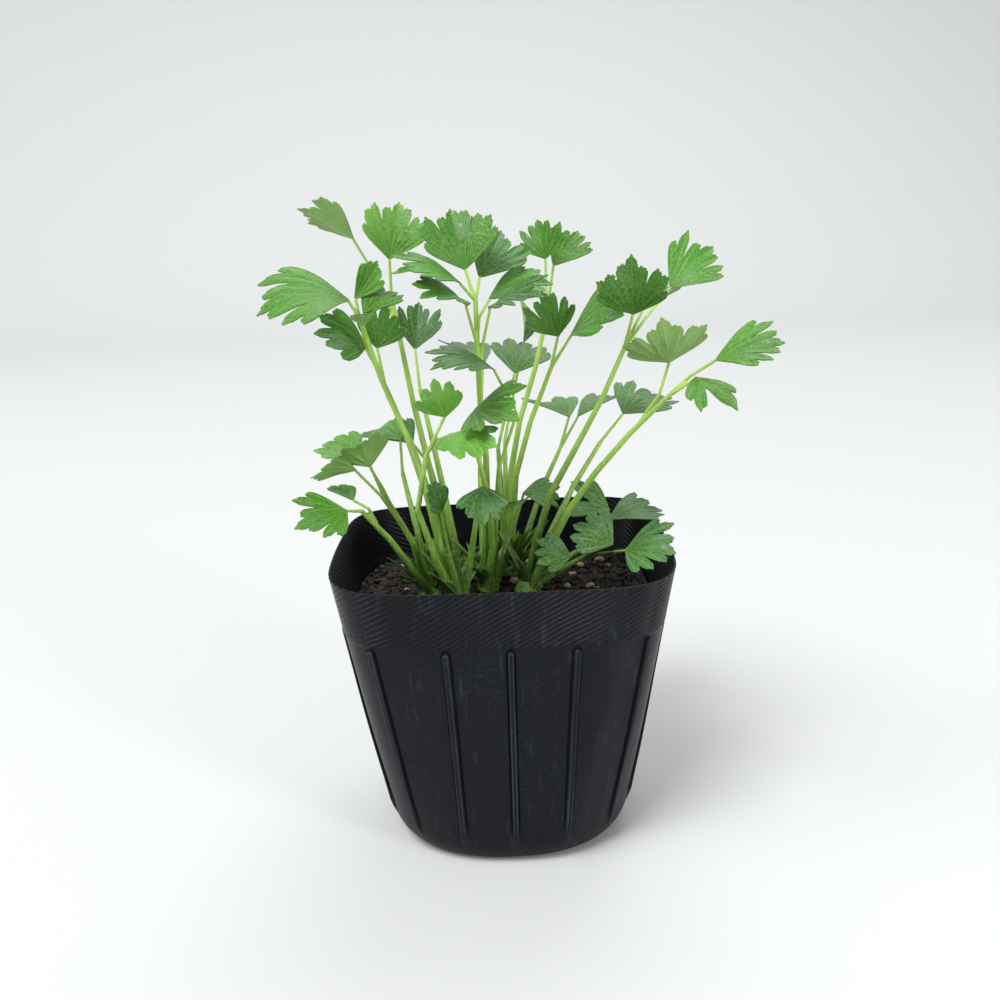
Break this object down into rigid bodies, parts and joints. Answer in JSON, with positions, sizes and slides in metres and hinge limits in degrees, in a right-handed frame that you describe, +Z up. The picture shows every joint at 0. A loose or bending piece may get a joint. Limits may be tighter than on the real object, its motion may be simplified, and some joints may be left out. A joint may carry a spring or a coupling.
{
  "type": "potted parsley",
  "caption": "Potted flat-leaf parsley seedling: toothed fan-shaped green leaflets on thin stalks, rising from dark compost in a soft black ribbed nursery pot.",
  "frame": {"origin": "middle of the pot's flat underside, on the surface that it stands on", "axes": "+Z up along the pot's axis; -Y is the front, the side that the picture was taken from; +X is to that viewer's right"},
  "size_m": [0.1167, 0.0823, 0.1616],
  "materials": {
    "pot": "satin",
    "soil": "rough",
    "stalk": "satin",
    "leaf": "satin",
    "leaf_young": "satin"
  },
  "bodies": {
    "root": {"pot": "pot", "soil": "soil", "stalks_left": "stalk", "stalks_back_left": "stalk", "stalks_front": "stalk", "stalks_centre": "stalk", "stalks_back_right": "stalk", "stalks_right": "stalk", "blade_L1": "leaf", "blade_L2": "leaf_young", "blade_A1": "leaf", "blade_A2": "leaf_young", "blade_A3": "leaf", "blade_A4": "leaf", "blade_A5": "leaf", "blade_C": "leaf", "blade_D": "leaf", "blade_E1": "leaf", "blade_E2": "leaf", "blade_E3": "leaf", "blade_E4": "leaf", "blade_E5": "leaf", "blade_E6": "leaf", "blade_F1": "leaf", "blade_F2": "leaf", "blade_G": "leaf", "blade_H1": "leaf", "blade_H2": "leaf", "blade_I": "leaf", "blade_J": "leaf", "blade_K": "leaf", "blade_M1": "leaf", "blade_M3": "leaf", "blade_M4": "leaf", "blade_N1": "leaf", "blade_N2": "leaf", "blade_N3": "leaf", "blade_P": "leaf", "blade_P2": "leaf", "blade_Q": "leaf", "blade_R1": "leaf_young", "blade_R2": "leaf", "blade_R3": "leaf", "blade_R4": "leaf", "blade_S1": "leaf", "blade_S2": "leaf", "blade_T": "leaf", "blade_U1": "leaf_young", "blade_U2": "leaf_young", "blade_V": "leaf", "blade_W": "leaf", "blade_X": "leaf", "blade_Z": "leaf", "blade_AA": "leaf", "blade_BB1": "leaf", "blade_BB2": "leaf", "blade_BB3": "leaf", "blade_BB4": "leaf", "blade_BB5": "leaf"}
  },
  "joints": []
}
